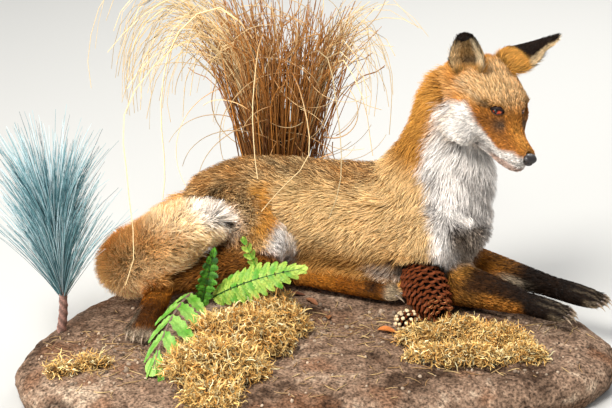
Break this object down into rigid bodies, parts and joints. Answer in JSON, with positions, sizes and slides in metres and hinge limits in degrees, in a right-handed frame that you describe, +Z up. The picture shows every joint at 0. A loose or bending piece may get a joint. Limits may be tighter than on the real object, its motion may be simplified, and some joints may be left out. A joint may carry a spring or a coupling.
{
  "type": "taxidermy red fox",
  "caption": "Life-size mounted red fox lying with its forelegs out and head turned, on a rock-like base with moss, ferns, cones, dry grass and a pine sprig.",
  "frame": {"origin": "the point of the base's flat underside below the fox's chest-to-hip middle, the datum of the mount base_underside", "axes": "+Z up from the underside, +X along the fox's trunk towards its head, +Y to its left"},
  "size_m": [0.8198, 0.5787, 0.4947],
  "materials": {
    "coat": "fox fur: golden orange flanks, grizzled back, white throat, buff tail",
    "coat_pale": "white and cream fur of throat, chest and lips",
    "coat_dark": "black-brown fur of the ears' backs and the feet",
    "nose_leather": "bare black nose leather, satin",
    "glass_eye": "polished glass eye, amber-red with a dark pupil",
    "modelled_rock": "rough dark brown-grey rockwork with cracks and grit",
    "dry_moss": "dried straw-coloured moss",
    "cone_scales": "red-brown cone scales, satin",
    "fern_leaf": "fresh green fern leaf, slightly shiny",
    "dry_stalks": "dry golden grass",
    "blue_needles": "blue-grey pine needles",
    "bark": "pinkish-brown young bark"
  },
  "bodies": {
    "root": {"base": "modelled_rock", "cone_large": "cone_scales", "cone_small": "cone_scales", "dry_grass": "dry_stalks", "ear_left": "coat_dark", "ear_right": "coat_dark", "eye_left": "glass_eye", "eye_right": "glass_eye", "fern_dark": "fern_leaf", "fern_down": "fern_leaf", "fern_right": "fern_leaf", "fern_up": "fern_leaf", "fore_paw_left": "coat_dark", "fore_paw_right": "coat_dark", "forearm_left": "coat", "forearm_right": "coat", "head": "coat", "hind_paw_left": "coat", "hind_paw_right": "coat_dark", "lower_jaw": "coat_pale", "moss_left": "dry_moss", "moss_right": "dry_moss", "moss_small": "dry_moss", "neck": "coat_pale", "nose": "nose_leather", "pine_needles": "blue_needles", "pine_stem": "bark", "shank_left": "coat", "shank_right": "coat", "tail_middle": "coat", "tail_root": "coat", "tail_tip": "coat", "thigh_left": "coat", "thigh_right": "coat", "trunk": "coat", "upper_arm_left": "coat", "upper_arm_right": "coat"}
  },
  "joints": []
}
